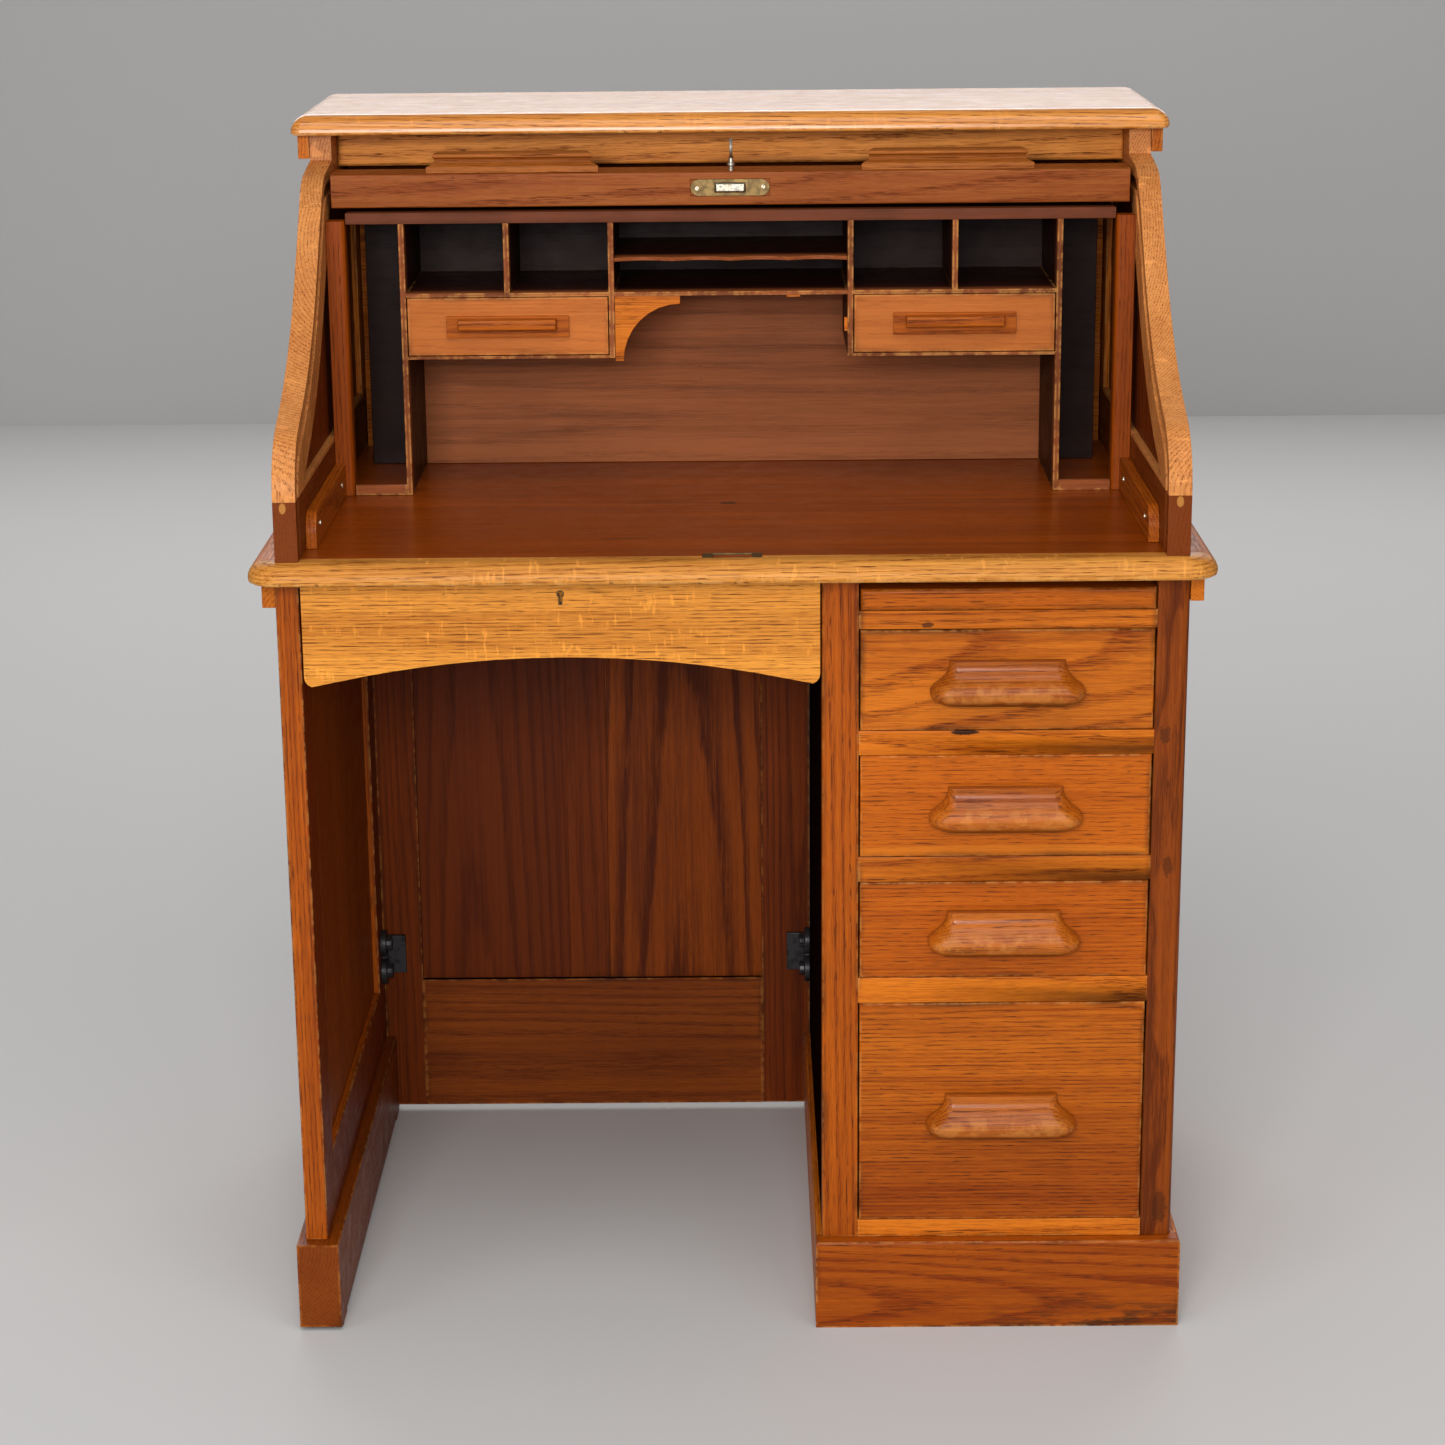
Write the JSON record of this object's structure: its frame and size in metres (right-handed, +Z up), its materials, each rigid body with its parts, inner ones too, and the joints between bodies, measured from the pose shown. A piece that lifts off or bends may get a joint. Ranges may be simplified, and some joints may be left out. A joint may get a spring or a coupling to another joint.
{
  "type": "roll top desk",
  "caption": "Small oak desk with S-shaped ends, a slatted roll curtain, a pigeonhole rack, a pull-out slide, an arched knee drawer and a pedestal of drawers.",
  "frame": {"origin": "on the floor under the middle of the desk, centred on its overall box", "axes": "+Z up, -Y towards the sitter, +X to the sitter's right where the pedestal stands"},
  "size_m": [0.8846, 0.611, 1.149],
  "materials": {
    "oak": "golden oak, satin varnish over fumed stain, open pores",
    "dark_oak": "reddish-brown oak, satin varnish",
    "pale_oak": "smooth pale oak, thin varnish",
    "mahogany": "pinkish-brown mahogany, dull varnish",
    "brass": "tarnished brass",
    "steel": "worn steel",
    "iron": "black japanned iron"
  },
  "bodies": {
    "root": {"desktop": "oak", "strike_plate": "brass", "left_end_frame": "oak", "left_end_panel": "oak", "left_skid": "oak", "pedestal_front_frame": "oak", "pedestal_knee_side": "oak", "pedestal_outer_side": "oak", "pedestal_plinth": "oak", "pedestal_floor": "oak", "pedestal_back": "oak", "modesty_panel": "oak", "iron_fastener_left": "iron", "iron_fastener_right": "iron", "s_end_left": "oak", "s_panel_left": "oak", "s_end_right": "oak", "s_panel_right": "oak", "top_board": "oak", "fixed_rail": "oak", "case_back": "oak", "side_post_left": "dark_oak", "desk_batten_left": "dark_oak", "side_post_right": "dark_oak", "desk_batten_right": "dark_oak", "pigeonhole_rack": "dark_oak", "pigeonhole_back": "mahogany", "scalloped_shelf": "dark_oak", "corner_bracket": "pale_oak"},
    "lock_rail": {"lock_rail": "oak", "lock_plate": "brass", "finger_lift_left": "oak", "finger_lift_right": "oak"},
    "key": {"key": "steel"},
    "lock_bolt": {"lock_bolt": "steel"},
    "curtain_01": {"curtain_section_01": "dark_oak"},
    "curtain_02": {"curtain_section_02": "dark_oak"},
    "curtain_03": {"curtain_section_03": "dark_oak"},
    "curtain_04": {"curtain_section_04": "dark_oak"},
    "curtain_05": {"curtain_section_05": "dark_oak"},
    "curtain_06": {"curtain_section_06": "dark_oak"},
    "curtain_07": {"curtain_section_07": "dark_oak"},
    "curtain_08": {"curtain_section_08": "dark_oak"},
    "curtain_09": {"curtain_section_09": "dark_oak"},
    "curtain_10": {"curtain_section_10": "dark_oak"},
    "drawer_1": {"drawer_1": "oak", "pull_1": "oak"},
    "drawer_2": {"drawer_2": "oak", "pull_2": "oak"},
    "drawer_3": {"drawer_3": "oak", "pull_3": "oak"},
    "drawer_4": {"drawer_4": "oak", "pull_4": "oak"},
    "knee_drawer": {"knee_drawer": "oak", "keyhole_bush": "brass"},
    "small_drawer_left": {"small_drawer_left": "pale_oak", "small_pull_left": "dark_oak"},
    "small_drawer_right": {"small_drawer_right": "pale_oak", "small_pull_right": "dark_oak"},
    "pull_out_slide": {"pull_out_slide": "oak"}
  },
  "joints": [
    {"name": "curtain_roll", "type": "hinge", "parent": "root", "child": "lock_rail", "pos_m": [0, 0.02594, 0.7798], "axis": [1, 0, 0], "range_deg": [0, 88.15]},
    {"name": "curtain_01_follow", "type": "hinge", "parent": "root", "child": "curtain_01", "pos_m": [0, 0.10243, 0.67514], "axis": [1, 0, 0], "range_deg": [0, 62.24], "deforming": ["curtain_section_01"]},
    {"name": "curtain_02_follow", "type": "hinge", "parent": "root", "child": "curtain_02", "pos_m": [0, 0.44127, 0.06967], "axis": [1, 0, 0], "range_deg": [0, 22.61], "deforming": ["curtain_section_02"]},
    {"name": "curtain_03_follow", "type": "hinge", "parent": "root", "child": "curtain_03", "pos_m": [0, 0.36231, 0.22669], "axis": [1, 0, 0], "range_deg": [0, 27.13], "deforming": ["curtain_section_03"]},
    {"name": "curtain_04_follow", "type": "hinge", "parent": "root", "child": "curtain_04", "pos_m": [0, 0.20864, 0.57926], "axis": [1, 0, 0], "range_deg": [0, 48.05], "deforming": ["curtain_section_04"]},
    {"name": "curtain_05_follow", "type": "hinge", "parent": "root", "child": "curtain_05", "pos_m": [0, 0.11139, 0.87873], "axis": [1, 0, 0], "range_deg": [0, 113.4], "deforming": ["curtain_section_05"]},
    {"name": "curtain_06_follow", "type": "hinge", "parent": "root", "child": "curtain_06", "pos_m": [0, 0.10552, 0.92569], "axis": [1, 0, 0], "range_deg": [0, 137.12], "deforming": ["curtain_section_06"]},
    {"name": "curtain_07_follow", "type": "hinge", "parent": "root", "child": "curtain_07", "pos_m": [0, 0.1057, 0.92714], "axis": [1, 0, 0], "range_deg": [0, 138.02], "deforming": ["curtain_section_07"]},
    {"name": "curtain_08_follow", "type": "hinge", "parent": "root", "child": "curtain_08", "pos_m": [0, 0.09973, 0.91323], "axis": [1, 0, 0], "range_deg": [0, 128.75], "deforming": ["curtain_section_08"]},
    {"name": "curtain_09_follow", "type": "hinge", "parent": "root", "child": "curtain_09", "pos_m": [0, 0.04759, 0.84863], "axis": [1, 0, 0], "range_deg": [0, 90.44], "deforming": ["curtain_section_09"]},
    {"name": "curtain_10_follow", "type": "hinge", "parent": "root", "child": "curtain_10", "pos_m": [0, 0.04666, 0.84788], "axis": [1, 0, 0], "range_deg": [0, 90.02], "deforming": ["curtain_section_10"]},
    {"name": "key_turn", "type": "hinge", "parent": "lock_rail", "child": "key", "pos_m": [0.001, 0.02898, 1.09522], "axis": [0, 0, 1], "range_deg": [0, 90]},
    {"name": "lock_bolt_throw", "type": "slide", "parent": "lock_rail", "child": "lock_bolt", "axis": [0, -1, 0], "range_m": [0, 0.00801]},
    {"name": "drawer_1_slide", "type": "slide", "parent": "root", "child": "drawer_1", "axis": [0, -1, 0], "range_m": [0, 0.36]},
    {"name": "drawer_2_slide", "type": "slide", "parent": "root", "child": "drawer_2", "axis": [0, -1, 0], "range_m": [0, 0.36]},
    {"name": "drawer_3_slide", "type": "slide", "parent": "root", "child": "drawer_3", "axis": [0, -1, 0], "range_m": [0, 0.36]},
    {"name": "drawer_4_slide", "type": "slide", "parent": "root", "child": "drawer_4", "axis": [0, -1, 0], "range_m": [0, 0.36]},
    {"name": "knee_drawer_slide", "type": "slide", "parent": "root", "child": "knee_drawer", "axis": [0, -1, 0], "range_m": [0, 0.28]},
    {"name": "small_drawer_left_slide", "type": "slide", "parent": "root", "child": "small_drawer_left", "axis": [0, -1, 0], "range_m": [0, 0.105]},
    {"name": "small_drawer_right_slide", "type": "slide", "parent": "root", "child": "small_drawer_right", "axis": [0, -1, 0], "range_m": [0, 0.105]},
    {"name": "slide_pull_out", "type": "slide", "parent": "root", "child": "pull_out_slide", "axis": [0, -1, 0], "range_m": [0, 0.33]}
  ],
  "couplings": [
    {"joint": "curtain_01_follow", "follows": "curtain_roll", "ratio": 0.70579},
    {"joint": "curtain_02_follow", "follows": "curtain_roll", "ratio": 0.25621},
    {"joint": "curtain_03_follow", "follows": "curtain_roll", "ratio": 0.30754},
    {"joint": "curtain_04_follow", "follows": "curtain_roll", "ratio": 0.54488},
    {"joint": "curtain_05_follow", "follows": "curtain_roll", "ratio": 1.2862},
    {"joint": "curtain_06_follow", "follows": "curtain_roll", "ratio": 1.5553},
    {"joint": "curtain_07_follow", "follows": "curtain_roll", "ratio": 1.5655},
    {"joint": "curtain_08_follow", "follows": "curtain_roll", "ratio": 1.4603},
    {"joint": "curtain_09_follow", "follows": "curtain_roll", "ratio": 1.0258},
    {"joint": "curtain_10_follow", "follows": "curtain_roll", "ratio": 1.021},
    {"joint": "lock_bolt_throw", "follows": "key_turn", "m_per_rad": 0.005093}
  ]
}
